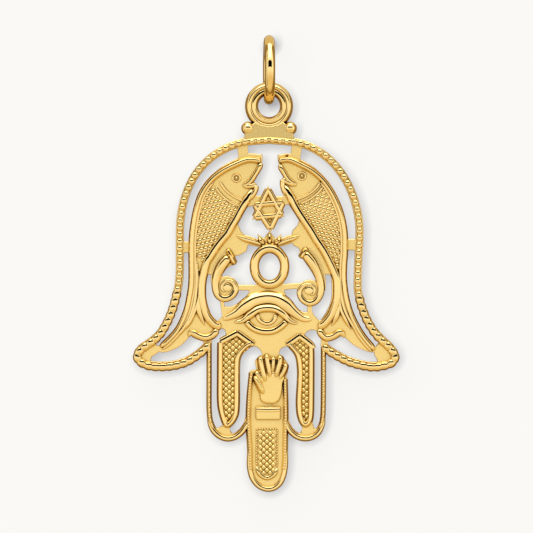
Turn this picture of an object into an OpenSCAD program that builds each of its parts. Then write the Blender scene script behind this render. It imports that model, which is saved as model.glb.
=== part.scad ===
// Hamsa pendant: a pierced hand-shaped plate with cast relief, its loop, and the jump ring it hangs on.
// The plate faces -Y, hangs along -Z, and its centre line is at x = 0.
// The origin is the inside top of the jump ring, where a chain carries it.

/* [Plate] */
// Width of the plate across its two flared corners
plate_w = 20; // [17:0.5:24]
// Height of the plate from the tip of the long finger to the top of the border
plate_h = 26.6; // [24:0.2:30]
// Thickness of the pierced plate without its relief
plate_t = 0.7; // [0.5:0.05:1.2]
// Radius in the corners of the pierced gaps
gap_fillet = 0.1; // [0.05:0.01:0.14]

/* [Border and cords] */
// Width of the beaded border
border_w = 0.6; // [0.5:0.02:0.7]
// Width of the twisted cord under each side finger
cord_w = 0.4; // [0.32:0.02:0.5]
// Width of the beaded band round the long finger
band_w = 0.42; // [0.3:0.02:0.5]
// Width of the tabs that join the border to the fish
tab_w = 0.85; // [0.6:0.05:1.1]

/* [Relief] */
// Height of the raised figures above the plate
figure_h = 0.14; // [0.08:0.02:0.24]
// Height of the rims and ridges above the plate
rim_h = 0.26; // [0.26:0.02:0.4]
// Height of the small hand and its cuff above the plate
hand_h = 0.36; // [0.3:0.02:0.5]
// Width of the rim round each fish
fish_rim = 0.3; // [0.2:0.02:0.4]
// Width of the rim round the panels of the side fingers
panel_rim = 0.25; // [0.16:0.01:0.32]
// Width of the rim round the panel of the long finger
long_panel_rim = 0.18; // [0.12:0.01:0.2]
// Width of the ridges that draw the eye and the brow
ridge_w = 0.24; // [0.16:0.02:0.3]
// Width of the two triangles of the star
star_wire = 0.2; // [0.14:0.02:0.26]
// Diameter of the iris
iris_d = 1.45; // [1.2:0.05:1.6]

/* [Horns] */
// Outside diameter of the curl at the end of each horn
curl_d = 1.88; // [1.7:0.02:2]
// Width of the stem under each curl
stem_w = 0.3; // [0.22:0.02:0.4]

/* [Pomegranate] */
// Width of the fruit
fruit_w = 2.8; // [2.4:0.1:3]
// Height of the fruit
fruit_h = 3.3; // [3:0.1:3.5]
// Width of the opening in the fruit
fruit_hole_w = 1.75; // [1.4:0.05:1.9]
// Height of the opening in the fruit
fruit_hole_h = 2.1; // [1.6:0.05:2.3]

/* [Loop] */
// Outside diameter of the loop
loop_d = 3.42; // [3.2:0.02:3.8]
// Diameter of the loop's wire
loop_wire = 0.76; // [0.6:0.02:0.84]
// How deep the loop is set into the saddle
loop_sink = 0.23; // [0.1:0.01:0.3]
// Width of the saddle under the loop
saddle_w = 3.75; // [3.4:0.05:4.2]
// Height of the saddle above the top of the border
saddle_h = 0.8; // [0.6:0.05:1]
// Diameter of the two grains beside the loop
grain_d = 1.04; // [0.8:0.02:1.2]
// Distance between the centres of the two grains
grain_gap = 3.16; // [3.1:0.02:3.3]
// How far each grain's centre lies below the top of the saddle
grain_sink = 0.16; // [0.05:0.01:0.3]

/* [Jump ring] */
// Outside diameter of the jump ring
ring_d = 5.2; // [5:0.05:6]
// Diameter of the jump ring's wire
ring_wire = 0.77; // [0.6:0.02:0.84]
// Angle by which the jump ring is turned from edge-on
ring_turn = 2; // [0:1:6]
// Clearance between the loop and the jump ring that carries it
hang_gap = 0.05; // [0.04:0.01:0.1]

/* [Hidden] */

// The figures are drawn on a squared sheet that covers the plate.
// A point is given in squares: across from the centre line, then up from the tip of the long finger.
squares_across = 266;
squares_up = 354.5;
// Longest straight stretch in a smooth curve
curve_step = 0.34;
// Step by which each level of the relief stays inside the one below it
edge_inset = 0.03;
// How deep the relief is rooted in the plate
relief_root = 0.15;
// Sides of the round shapes, of their wire, and of the corners of the gaps
round_sides = 48;
wire_sides = 32;
fillet_sides = 24;

ring_seat = -(ring_d - 2 * ring_wire);
loop_seat = ring_seat + hang_gap;
loop_centre = loop_seat - (loop_d / 2 - loop_wire);
plate_top = loop_centre - loop_d / 2 + loop_sink - saddle_h;
plate_foot = plate_top - plate_h;

// Border, from the top down round the flare and along the lower edge: across, up
border_left = [
    [2, 351.5], [-25, 348.8], [-44.5, 342], [-61.5, 330.3], [-75, 314], [-84, 293.5], [-88.3, 272],
    [-89, 250], [-89, 224], [-90, 208], [-93, 194], [-96.8, 181], [-102.3, 168.5], [-109.5, 157],
    [-119.5, 148.5], [-127.5, 143], [-131.3, 136.5], [-128, 130.2], [-117, 126], [-99, 126],
    [-83, 130], [-70, 138], [-60, 147]
];
border_right = [
    [-2, 351.5], [26, 348.8], [41.5, 344], [56, 335.3], [69, 322.3], [79.3, 306], [86, 288.5],
    [89.6, 271], [90.3, 255], [89.2, 232], [88.5, 212], [88.8, 200], [91.8, 187.5], [97, 173.5],
    [104.3, 161], [112, 152.3], [119.8, 145.3], [125.6, 136.5], [122, 129.3], [109, 125.6], [98, 125.8],
    [81, 130], [65, 138], [54, 145.5]
];
// Solid corner inside each flare: across, up
flare_left = [[-126, 149], [-115, 151], [-111, 144], [-111, 138], [-117, 134.5], [-119, 129], [-128, 131]];
flare_right = [[121, 149], [109, 148], [106, 144], [105, 136.5], [107.5, 132], [110, 128], [122, 130]];

// Tabs that join the border to the fish: from, to, share of tab_w
tab_rows = [
    [[-26.5, 347], [-25.5, 333], 0.9],
    [[28, 346], [26, 332], 0.9],
    [[-88, 244], [-77, 244], 1],
    [[76, 246.5], [88, 246.5], 1],
    [[-61.4, 156], [-61.4, 141], 0.75],
    [[55.4, 157], [55.4, 142], 0.64]
];

// Fish, one row of points for each stretch between two sharp corners: across, up
fish_left = [
    [[-6.5, 336.5], [-21, 337.5], [-34, 331.5], [-47, 324.5], [-58, 315], [-67.5, 302.5], [-73, 287],
        [-77, 268], [-79, 247], [-79, 212], [-81, 195], [-84.5, 180], [-92, 163.5], [-102, 152],
        [-111, 145]],
    [[-112, 140], [-106, 138.5], [-98, 140.5], [-88, 145.5], [-80.5, 153], [-77, 158]],
    [[-76, 158.5], [-70, 156], [-63, 153.5], [-56, 156.5], [-50, 163]],
    [[-49, 167], [-56, 174.5], [-61.5, 184], [-64.5, 197], [-64.5, 210], [-61.5, 222], [-54, 237.5],
        [-43, 252], [-33, 266], [-24, 280], [-16, 293], [-12, 304]],
    [[-12.5, 307], [-15, 309]],
    [[-12.5, 313], [-9, 321.5], [-7, 329], [-6.5, 334]]
];
fish_right = [
    [[8.5, 336], [20, 337.5], [33, 331], [46, 323], [57, 311.5], [66, 297.5], [73, 279], [77, 260],
        [77.5, 240], [76.5, 225], [76.5, 210], [79, 192], [84.5, 175], [94.5, 157], [108, 141]],
    [[107, 138.5], [97, 140], [84.5, 146], [76, 153.5], [71, 158.5]],
    [[69.5, 159], [64, 155], [57, 153.5], [51, 158.5], [48.5, 164]],
    [[48, 166.5], [56, 177.5], [61.5, 190], [62.5, 206], [60, 222], [53, 236], [42.5, 252], [33, 266.5],
        [24.5, 279], [17.5, 290], [13.5, 300], [12.5, 309]],
    [[13.2, 313], [15.5, 314.5]],
    [[13, 319], [10.5, 325], [8.5, 332]]
];

// Six-pointed star, as two triangles: across, up
star_up = [[-1, 305.5], [-17, 271.5], [15.5, 274.5]];
star_down = [[-17, 287.5], [16.5, 290.5], [1.5, 259]];

// Plates that carry the star, the horns and the fruit between the two fish: across, up
web_star_left = [[-20, 296], [-5, 295], [-7, 287], [-17, 285], [-25, 283]];
web_star_right = [[6, 294.5], [15, 295], [21, 288], [15, 285], [6, 287]];
web_left = [
    [-32, 270], [-28, 260], [-22.5, 254.5], [-21, 246], [-22.5, 240], [-29, 236], [-35, 235], [-38, 229],
    [-54, 221], [-58, 216.5], [-66, 216], [-66, 225], [-46, 252]
];
web_right = [
    [31, 274], [28.5, 266], [23.5, 261], [22, 254], [24, 246], [29.5, 243], [34, 234], [46, 227],
    [53.5, 217], [64, 216], [62, 228], [38, 262]
];

// Horns, one row of points for each stretch between two sharp corners: across, up, from the curl's centre
horn_left = [
    [[2, 40], [-3, 35], [-8, 29.5], [-12.2, 21.5], [-14.6, 13], [-15, 4], [-13.2, -4], [-8, -9]],
    [[-2, -6], [-7, 0], [-7.5, 7], [-5.5, 13], [-1.5, 18.5], [3.5, 22.5], [9.5, 24.5]],
    [[8.5, 28], [5.5, 33.5]]
];
horn_right = [
    [[-2.8, 47], [3.2, 39.5], [8.6, 32], [12.4, 25], [14.8, 17], [15.2, 8], [14, -1], [9, -9]],
    [[3, -6], [8, 0], [9.4, 7], [7.6, 14.5], [3.2, 22], [-1.8, 28.5], [-6.5, 36]],
    [[-5.5, 39.5], [-4.5, 43]]
];
// Centre of each curl: across, up
curl_left = [-42.5, 202.5];
curl_right = [40.8, 199];
// Stem under each curl and bridge beside it: from, to, share of stem_w
stem_rows = [
    [[-47.2, 192], [-45, 176], 1],
    [[40.6, 190], [40.6, 176], 1.2],
    [[-31, 203.5], [-12, 203.5], 1.4],
    [[12, 204], [32, 205.5], 1.45]
];

// Crown, fruit and leaves of the pomegranate: across, up
crown = [[-9, 243], [-11.5, 257.5], [-5.5, 252.5], [0.5, 260.5], [6.5, 252.5], [12.5, 257.5], [10, 243]];
fruit_centre = [0.5, 224.5];
leaf_left = [[-7, 245, 3], [-15, 249, 8], [-24, 252, 8], [-34, 256, 3]];
leaf_right = [[8, 245, 3], [15, 249.5, 8], [23, 252.5, 8], [32, 256, 3]];

// Palm, one row of points for each stretch between two sharp corners: across, up
palm = [
    [[-45.5, 185], [-38, 184.6], [-30.5, 188.5], [-23.5, 194.5], [-19, 200], [-14, 204]],
    [[12, 204.5], [15, 200.5]],
    [[16.5, 197], [21, 189.5], [29, 182], [35, 179]],
    [[43, 180], [45, 176], [50.5, 170.5]],
    [[52, 164], [50, 159], [46.5, 160.5], [42.5, 161.5], [38.5, 160], [34.5, 155]],
    [[30, 147], [20, 145], [13.5, 143.5], [10.5, 140], [10, 136]],
    [[-6.5, 136], [-8.5, 141], [-13, 144.5], [-20, 144]],
    [[-30, 147], [-42, 154.5], [-43.5, 160.5], [-46, 162.6], [-51, 160.5]],
    [[-50.5, 171], [-47, 174.5], [-45, 180]]
];
// Ridges of the brow and the two lids: across, up
brow = [
    [-44, 176], [-32, 182], [-23.5, 189.5], [-14.5, 195], [-2.5, 197], [8, 195.5], [16.5, 190.5],
    [25, 182.5], [34, 176.5], [43, 175.5]
];
lid_upper = [
    [-32, 171], [-24.5, 173], [-18, 178.5], [-10.5, 183.5], [-2, 185], [6, 184], [12.5, 180],
    [18.5, 174], [26.5, 170.5]
];
lid_lower = [[-23.5, 171.5], [-17.5, 165.5], [-10, 162], [-2.5, 161], [5, 162], [12, 166], [18, 171.5]];
iris_centre = [-1.5, 179.5];

// Side fingers, one row of points for each stretch between two sharp corners: across, up
finger_left = [
    [[-49.5, 150], [-32, 159.5]],
    [[-31, 159], [-14, 147]],
    [[-15, 145.5], [-23, 142], [-28, 134.5], [-29.5, 124], [-29.7, 86], [-32, 73], [-39, 64],
        [-45, 65.5], [-49.5, 77], [-51.7, 91]],
    [[-51.7, 100], [-51.7, 147]]
];
finger_right = [
    [[17, 147], [30, 156.5]],
    [[31, 156.2], [42, 147.5], [45, 142], [45, 134]],
    [[45, 101], [44.5, 76], [42, 67.5], [37, 64], [31.5, 66.5], [27.8, 76], [26.8, 90], [27.8, 108],
        [28, 122], [26, 135], [20, 143.5]]
];
// Twisted cords under the side fingers: across, up
cord_left = [
    [-59.8, 150], [-59.8, 110], [-59.7, 80], [-57.5, 67], [-52, 58.5], [-43.5, 54], [-35, 55], [-28, 60],
    [-22.5, 68], [-21.5, 73]
];
cord_right = [
    [54.3, 146], [54.3, 105], [53.7, 75], [51, 64], [46, 57.2], [38, 54], [29, 55.5], [22, 61],
    [17.5, 69], [17, 74]
];
// Bridge from the end of each cord to the long finger: from, to, share of cord_w
bridge_rows = [[[-24, 64], [-17, 64], 1.9], [[16, 62], [22, 62], 1.5]];
// Solid foot between each side finger and its cord: across, up
cord_foot_left = [[-52, 62.5], [-46, 66], [-39, 66], [-39, 61], [-37, 58], [-38, 54], [-50, 56]];
cord_foot_right = [
    [33, 66], [32.5, 60], [30.5, 57.5], [32, 54], [44, 57], [46.5, 61.5], [44.5, 64], [44, 68]
];

// Long finger: across, up
finger_long = [
    [[-19.5, 120], [-21, 111], [-22.8, 92], [-23.5, 68], [-22, 42], [-21.6, 24], [-18.5, 12],
        [-10.5, 3], [-1, 0], [8, 2.5], [14.8, 10.5], [18.3, 25], [19.2, 55], [19.6, 80], [18.8, 113]]
];
// Panel on the long finger: across, up
panel_long = [
    [[-12.8, 62], [8.5, 62]],
    [[8.8, 60], [8.8, 25], [6, 17], [-2, 12.5], [-10, 17.5], [-13.3, 28], [-13, 60]]
];
// Small hand and its cuff: across, up
hand = [
    [[-9.5, 88], [-9, 98], [-13, 107], [-19.5, 113], [-20.5, 118], [-17.5, 121], [-13, 121.5]],
    [[-12, 121], [-14.2, 129], [-11.5, 133.5], [-6.5, 136.5], [2, 136], [11, 136], [18.5, 128],
        [18.8, 119], [14, 108], [11.5, 98], [11, 88]]
];
cuff = [[-13, 71.5], [-13.2, 84], [11, 84.3], [11.2, 71.5]];

// A place on the sheet, in millimetres
function place(p) = [p[0] * plate_w / squares_across, p[1] * plate_h / squares_up];
function width(squares) = squares * plate_w / squares_across;

// A point between b and c on the smooth curve through a, b, c and d
function between(a, b, c, d, t) = 0.5 * (
    2 * b + (c - a) * t + (2 * a - 5 * b + 4 * c - d) * t * t + (3 * b - a - 3 * c + d) * t * t * t
);
// A smooth open curve through all rows, whose columns may include a width
function smooth(rows) = [
    for (i = [0 : len(rows) - 2])
        let (
            b = rows[i],
            c = rows[i + 1],
            a = i > 0 ? rows[i - 1] : 2 * b - c,
            d = i < len(rows) - 2 ? rows[i + 2] : 2 * c - b,
            steps = ceil(norm(place(c) - place(b)) / curve_step)
        )
        for (s = [0 : steps - 1]) between(a, b, c, d, s / steps),
    rows[len(rows) - 1]
];
function outline(stretches) = [for (rows = stretches) for (p = smooth(rows)) place(p)];

// The unit normal at row i of a path
function normal(path, i) =
    let (
        before = path[max(i - 1, 0)],
        after = path[min(i + 1, len(path) - 1)],
        along = [after[0] - before[0], after[1] - before[1]]
    )
    [-along[1], along[0]] / norm(along);
// A band along a path, as wide at each point as its row of widths says
function band(path, widths) = concat(
    [for (i = [0 : len(path) - 1]) path[i] + normal(path, i) * widths[i] / 2],
    [for (i = [len(path) - 1 : -1 : 0]) path[i] - normal(path, i) * widths[i] / 2]
);
function even_band(rows, w) =
    let (path = [for (p = smooth(rows)) place(p)])
    band(path, [for (p = path) w]);
function tapered_band(rows) =
    let (points = smooth(rows))
    band([for (p = points) place(p)], [for (p = points) width(p[2])]);

module flat(stretches) polygon(outline(stretches));
module plain(rows) polygon([for (p = rows) place(p)]);
module bars(rows, w) for (row = rows) polygon(band([place(row[0]), place(row[1])], [w * row[2], w * row[2]]));
module oval(centre, w, h) translate(place(centre)) scale([w, h]) circle(d = 1, $fn = round_sides);

module border() {
    polygon(even_band(border_left, border_w));
    polygon(even_band(border_right, border_w));
    plain(flare_left);
    plain(flare_right);
}

module tabs() bars(tab_rows, tab_w);

module fish_pair() {
    flat(fish_left);
    flat(fish_right);
}

module star() {
    plain(star_up);
    plain(star_down);
}

module webs() {
    plain(web_star_left);
    plain(web_star_right);
    plain(web_left);
    plain(web_right);
}

module horns() {
    translate(place(curl_left)) flat(horn_left);
    translate(place(curl_right)) flat(horn_right);
    oval(curl_left, curl_d, curl_d);
    oval(curl_right, curl_d, curl_d);
}

module horn_links() bars(stem_rows, stem_w);

module leaves() {
    polygon(tapered_band(leaf_left));
    polygon(tapered_band(leaf_right));
}

module fruit() {
    difference() {
        oval(fruit_centre, fruit_w, fruit_h);
        oval(fruit_centre, fruit_hole_w, fruit_hole_h);
    }
    plain(crown);
}

module eye_opening() plain(concat(smooth(lid_upper), [for (i = [len(lid_lower) - 1 : -1 : 0]) lid_lower[i]]));

module hand_outline() flat(hand);

module side_fingers() {
    flat(finger_left);
    flat(finger_right);
}

module cords() {
    polygon(even_band(cord_left, cord_w));
    polygon(even_band(cord_right, cord_w));
}

module cord_tabs() {
    plain(cord_foot_left);
    plain(cord_foot_right);
    bars(bridge_rows, cord_w);
}

// Everything that is pierced out of one sheet
module plate_outline() {
    border();
    tabs();
    fish_pair();
    star();
    webs();
    horns();
    horn_links();
    leaves();
    fruit();
    flat(palm);
    side_fingers();
    cords();
    cord_tabs();
    flat(finger_long);
    hand_outline();
    saddle();
}

// Foot of the loop, from grain to grain along the top of the border
module saddle() {
    foot = border_w / 2;
    translate([-saddle_w / 2, plate_h - foot]) square([saddle_w, saddle_h + foot]);
}

// The part of a figure that lies within w of its edge
module edge_of(w) difference() {
    children();
    offset(delta = -w) children();
}

module raised(height, inset) {
    translate([0, 0, plate_t / 2 - relief_root])
        linear_extrude(height + relief_root)
            offset(delta = -inset)
                children();
}

module plate() {
    linear_extrude(plate_t, center = true)
        offset(r = -gap_fillet, $fn = fillet_sides)
            offset(delta = gap_fillet)
                plate_outline();
}

module figures() {
    raised(figure_h, edge_inset) {
        fish_pair();
        horns();
        leaves();
        fruit();
        intersection() {
            oval(iris_centre, iris_d, iris_d);
            eye_opening();
        }
    }
}

module rims() {
    raised(rim_h, 2 * edge_inset) {
        polygon(even_band(border_left, border_w));
        polygon(even_band(border_right, border_w));
        edge_of(fish_rim) flat(fish_left);
        edge_of(fish_rim) flat(fish_right);
        edge_of(star_wire) plain(star_up);
        edge_of(star_wire) plain(star_down);
        polygon(even_band(brow, ridge_w));
        polygon(even_band(lid_upper, ridge_w));
        polygon(even_band(lid_lower, ridge_w));
        edge_of(panel_rim) flat(finger_left);
        edge_of(panel_rim) flat(finger_right);
        cords();
        edge_of(band_w) flat(finger_long);
        edge_of(long_panel_rim) flat(panel_long);
    }
}

module small_hand() {
    raised(hand_h, 3 * edge_inset) {
        hand_outline();
        plain(cuff);
    }
}

module loop() {
    ring_r = (loop_d - loop_wire) / 2;
    translate([0, 0, loop_centre])
        rotate([90, 0, 0])
            rotate_extrude($fn = round_sides)
                translate([ring_r, 0]) circle(d = loop_wire, $fn = wire_sides);
    for (side = [-1, 1])
        translate([side * grain_gap / 2, 0, plate_top + saddle_h - grain_sink])
            sphere(d = grain_d, $fn = wire_sides);
}

module jump_ring() {
    ring_r = (ring_d - ring_wire) / 2;
    color("goldenrod")
        translate([0, 0, ring_seat / 2])
            rotate([0, 0, ring_turn])
                rotate([0, 90, 0])
                    rotate_extrude($fn = round_sides)
                        translate([ring_r, 0]) circle(d = ring_wire, $fn = wire_sides);
}

module hamsa() {
    color("gold") {
        translate([0, 0, plate_foot])
            rotate([90, 0, 0]) {
                plate();
                figures();
                rims();
                small_hand();
            }
        loop();
    }
}

jump_ring();
hamsa();
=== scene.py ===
"""A gold hamsa pendant on its jump ring: a pierced casting with two fish, a star, horns, an eye and a small hand."""
from math import atan2, ceil, cos, pi, radians, sin, sqrt

import bmesh
import bpy
from mathutils import Matrix, Vector


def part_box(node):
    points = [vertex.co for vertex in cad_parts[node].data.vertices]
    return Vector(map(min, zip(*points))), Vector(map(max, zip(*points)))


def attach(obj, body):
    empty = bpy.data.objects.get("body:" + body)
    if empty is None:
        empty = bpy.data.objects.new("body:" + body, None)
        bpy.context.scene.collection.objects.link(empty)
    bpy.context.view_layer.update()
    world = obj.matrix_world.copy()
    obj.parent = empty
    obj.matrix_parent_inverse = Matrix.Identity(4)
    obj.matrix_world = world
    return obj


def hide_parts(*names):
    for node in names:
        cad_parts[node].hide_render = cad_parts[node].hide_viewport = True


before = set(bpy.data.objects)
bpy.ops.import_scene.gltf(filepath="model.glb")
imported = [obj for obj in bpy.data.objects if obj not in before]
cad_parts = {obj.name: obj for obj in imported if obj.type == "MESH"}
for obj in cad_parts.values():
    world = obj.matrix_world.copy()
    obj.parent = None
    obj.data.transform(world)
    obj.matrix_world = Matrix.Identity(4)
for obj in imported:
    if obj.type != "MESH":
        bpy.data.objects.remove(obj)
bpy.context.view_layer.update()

# Camera
# A long lens looks straight at the front of the pendant, level with its middle.
# The picture is as wide as 40 mm of the pendant's plane.
MM = 0.001
picture_w = 40 * MM
lens_distance = 300 * MM
aim = Vector((-0.19 * MM, 0, -16.59 * MM))
camera_data = bpy.data.cameras.new("camera")
camera_data.lens = camera_data.sensor_width * lens_distance / picture_w
camera_data.clip_start = 0.01
camera = bpy.data.objects.new("camera", camera_data)
camera.location = aim + Vector((0, -lens_distance, 0))
camera.rotation_euler = (pi / 2, 0, 0)
bpy.context.collection.objects.link(camera)
bpy.context.scene.camera = camera
bpy.context.scene.view_settings.view_transform = "Standard"

# Jump ring
# A round ring of drawn gold wire, soldered shut and polished, that carries the pendant and keeps its CAD shape.
# Painted shade darkens the gold where the metal is crowded, and turns it darker brown deep in its recesses.
GOLD = (0.99, 0.765, 0.345)
UNEVEN, UNEVEN_ROUGH = 0.06, 0.15
CLOUD_SCALE = 420.0
CROWD_SHADE_REACH, RECESS_SHADE_REACH = 0.9 * MM, 0.22 * MM
CROWD_SHADE = ((0.55, (0.68, 0.62, 0.52)), (0.88, (1, 1, 1)))
RECESS_SHADE = ((0.0, (0.09, 0.07, 0.04)), (0.28, (0.33, 0.26, 0.15)), (0.52, (0.66, 0.56, 0.38)), (0.82, (1, 1, 1)))
GRAIN_SIZE = 0.09 * MM


def node(tree, kind, spot, **values):
    """A shader node with its properties and sockets set."""
    made = tree.nodes.new(kind)
    made.location = spot
    for name, value in values.items():
        if name in made.inputs:
            made.inputs[name].default_value = value
        else:
            setattr(made, name, value)
    return made


def colour_stops(ramp, stops):
    """Fills a colour ramp with places and colours."""
    elements = ramp.color_ramp.elements
    while len(elements) < len(stops):
        elements.new(0.5)
    for element, (place, colour) in zip(elements, stops):
        element.position = place
        element.color = (*colour, 1)


def multiplied(tree, spot, first, second):
    """The product of two colours."""
    mix = node(tree, "ShaderNodeMix", spot, data_type="RGBA", blend_type="MULTIPLY")
    mix.inputs[0].default_value = 1.0
    tree.links.new(first, mix.inputs[6])
    tree.links.new(second, mix.inputs[7])
    return mix.outputs[2]


def ranged(tree, spot, source, span=(0.0, 1.0), to=(0.0, 1.0)):
    """A number brought from one span to another."""
    ends = {"From Min": span[0], "From Max": span[1], "To Min": to[0], "To Max": to[1]}
    change = node(tree, "ShaderNodeMapRange", spot, **ends)
    tree.links.new(source, change.inputs[0])
    return change.outputs[0]


def gold(name, roughness, colour=GOLD, grain=0.0):
    """Solid gold with a slightly uneven colour and polish, painted shade where other metal is near, and a fine grain
    where grain is above 0.
    """
    material = bpy.data.materials.new(name)
    material.use_nodes = True
    tree = material.node_tree
    tree.nodes.clear()
    out = node(tree, "ShaderNodeOutputMaterial", (600, 0))
    metal = node(tree, "ShaderNodeBsdfPrincipled", (300, 0), Metallic=1.0)
    tree.links.new(metal.outputs[0], out.inputs[0])
    place = node(tree, "ShaderNodeTexCoord", (-900, 0))
    cloud = node(tree, "ShaderNodeTexNoise", (-600, 200), Scale=CLOUD_SCALE, Detail=3.0)
    tree.links.new(place.outputs["Object"], cloud.inputs["Vector"])
    tint = node(tree, "ShaderNodeValToRGB", (-300, 200))
    colour_stops(tint, ((0.3, [c * (1 - UNEVEN) for c in colour]), (0.7, colour)))
    tree.links.new(cloud.outputs["Fac"], tint.inputs[0])
    shown = tint.outputs[0]
    # Painted shade: ambient occlusion darkens the colour, widely where the metal is crowded and brown deep in
    # recesses.
    for k, (reach, stops) in enumerate(((CROWD_SHADE_REACH, CROWD_SHADE), (RECESS_SHADE_REACH, RECESS_SHADE))):
        hollow = node(tree, "ShaderNodeAmbientOcclusion", (-600, 500 + 300 * k), Distance=reach, samples=6)
        painted_shade = node(tree, "ShaderNodeValToRGB", (-300, 500 + 300 * k))
        colour_stops(painted_shade, stops)
        tree.links.new(hollow.outputs["AO"], painted_shade.inputs[0])
        shown = multiplied(tree, (-100 + 150 * k, 400), shown, painted_shade.outputs[0])
    tree.links.new(shown, metal.inputs["Base Color"])
    spread = (roughness * (1 - UNEVEN_ROUGH), roughness * (1 + UNEVEN_ROUGH))
    rough = ranged(tree, (-300, -100), cloud.outputs["Fac"], to=spread)
    tree.links.new(rough, metal.inputs["Roughness"])
    if grain:
        fine = node(tree, "ShaderNodeTexNoise", (-600, -300), Scale=1 / GRAIN_SIZE, Detail=4.0)
        tree.links.new(place.outputs["Object"], fine.inputs["Vector"])
        bump = node(tree, "ShaderNodeBump", (0, -300), Strength=grain, Distance=0.02 * MM)
        tree.links.new(fine.outputs["Fac"], bump.inputs["Height"])
        tree.links.new(bump.outputs[0], metal.inputs["Normal"])
    return material


polished = gold("polished_gold", 0.055)
satin = gold("satin_gold", 0.26, colour=(1.0, 0.77, 0.31), grain=0.05)
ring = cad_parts["jump_ring"]
ring.data.materials.clear()
ring.data.materials.append(polished)

# Plate
# One pierced sheet of cast gold with a satin face, and the edges of every gap rounded by casting and tumbling.
# Its outline is that of the flat back of the CAD casting, up to the saddle.
PLATE_T = 0.7
FRONT = PLATE_T / 2
PLATE_UP = 26.6
EDGE_R = 0.06
EDGE_STEPS = 3
EDGE_MARGIN = 0.012
NEAR = 0.0001
SATIN, POLISHED = 0, 1
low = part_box("hamsa")[0] / MM


def finish_piece(bm, name, sharp=38):
    """Stands a mesh up from the squared sheet, on which it lies in millimetres, as a piece of the pendant."""
    bmesh.ops.rotate(bm, cent=(0, 0, 0), matrix=Matrix.Rotation(pi / 2, 3, "X"), verts=bm.verts)
    bmesh.ops.translate(bm, vec=(0, 0, low.z), verts=bm.verts)
    bmesh.ops.scale(bm, vec=(MM, MM, MM), verts=bm.verts)
    mesh = bpy.data.meshes.new(name)
    bm.to_mesh(mesh)
    bm.free()
    mesh.materials.append(satin)
    mesh.materials.append(polished)
    mesh.shade_smooth()
    mesh.set_sharp_from_angle(angle=radians(sharp))
    piece = bpy.data.objects.new(name, mesh)
    bpy.context.collection.objects.link(piece)
    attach(piece, "pendant")
    return piece


def round_edge(bm, faces, radius):
    """Rounds the rim of a flat patch of faces, and keeps what is left of the patch flat."""
    level = faces[0].verts[0].co.z + radius
    for k in range(EDGE_STEPS):
        a, b = (k * pi / 2 / EDGE_STEPS, (k + 1) * pi / 2 / EDGE_STEPS)
        bmesh.ops.inset_region(
            bm, faces=faces, thickness=radius * (cos(a) - cos(b)), depth=radius * (sin(b) - sin(a)),
            use_even_offset=False, use_boundary=True,
        )
    bmesh.ops.inset_region(bm, faces=faces, thickness=EDGE_MARGIN, depth=0, use_even_offset=False, use_boundary=True)
    for vert in {vert for face in faces for vert in face.verts}:
        vert.co.z = level


def open_middle(bm):
    """Takes away the faces in the middle plane, between two mirrored halves."""
    flat = [face for face in bm.faces if all(abs(vert.co.z) < 1e-6 for vert in face.verts)]
    bmesh.ops.delete(bm, geom=flat, context="FACES")


bm = bmesh.new()
bm.from_mesh(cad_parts["hamsa"].data)
bmesh.ops.scale(bm, vec=(1 / MM, 1 / MM, 1 / MM), verts=bm.verts)
bmesh.ops.translate(bm, vec=(0, 0, -low.z), verts=bm.verts)
bmesh.ops.rotate(bm, cent=(0, 0, 0), matrix=Matrix.Rotation(-pi / 2, 3, "X"), verts=bm.verts)
bmesh.ops.remove_doubles(bm, verts=bm.verts, dist=0.0005)
back = [f for f in bm.faces if all(abs(v.co.z + FRONT) < 0.002 for v in f.verts)]
bmesh.ops.delete(bm, geom=list(set(bm.faces) - set(back)), context="FACES")
bmesh.ops.bisect_plane(
    bm, geom=bm.verts[:] + bm.edges[:] + bm.faces[:], dist=NEAR,
    plane_co=(0, PLATE_UP, 0), plane_no=(0, 1, 0), clear_outer=True,
)
for vert in bm.verts:
    vert.co.z = 0
bmesh.ops.recalc_face_normals(bm, faces=bm.faces)
if sum(f.normal.z * f.calc_area() for f in bm.faces) < 0:
    bmesh.ops.reverse_faces(bm, faces=bm.faces)
grown = bmesh.ops.extrude_face_region(bm, geom=bm.faces[:])
caps = [g for g in grown["geom"] if isinstance(g, bmesh.types.BMFace)]
top = [g for g in grown["geom"] if isinstance(g, bmesh.types.BMVert)]
bmesh.ops.translate(bm, vec=(0, 0, FRONT - EDGE_R), verts=top)
open_middle(bm)
round_edge(bm, caps, EDGE_R)
bmesh.ops.mirror(bm, geom=bm.verts[:] + bm.edges[:] + bm.faces[:], axis="Z", merge_dist=NEAR)
bmesh.ops.recalc_face_normals(bm, faces=bm.faces)
for face in bm.faces:
    face.material_index = SATIN if abs(face.normal.z) > 0.99 else POLISHED
plate = finish_piece(bm, "plate")
bm = bmesh.new()
bm.from_mesh(plate.data)
for edge in bm.edges:
    if sum(abs(face.normal.y) > 0.9999 for face in edge.link_faces) == 1:
        edge.smooth = False
bm.to_mesh(plate.data)
bm.free()
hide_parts("hamsa")

# Beaded border
# A gold wire pressed into a row of beads, cast in one with the plate, runs round it from the top to the flares.
# Round the flares it swells and narrows softly, and ends at the side fingers.
PLATE_W = 20
SQUARES_W, SQUARES_UP = 266, 354.5
CREST_SHARE, CREST_R = 0.23, 0.5
FOOT_LEAN, FOOT_LEAST = 0.62, 0.1
SUNK = 0.06
WIRE_W, WIRE_H = 0.66, 0.16
BEAD_PITCH = 0.525
BEAD_LONG, BEAD_WIDE, BEAD_TALL = 0.24, 0.235, 0.095
SMALL_BEAD = 0.78


def at(across, up, height=FRONT):
    """A place on the squared sheet that the figures are drawn on, in millimetres."""
    return Vector((across * PLATE_W / SQUARES_W, up * PLATE_UP / SQUARES_UP, height))


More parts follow.
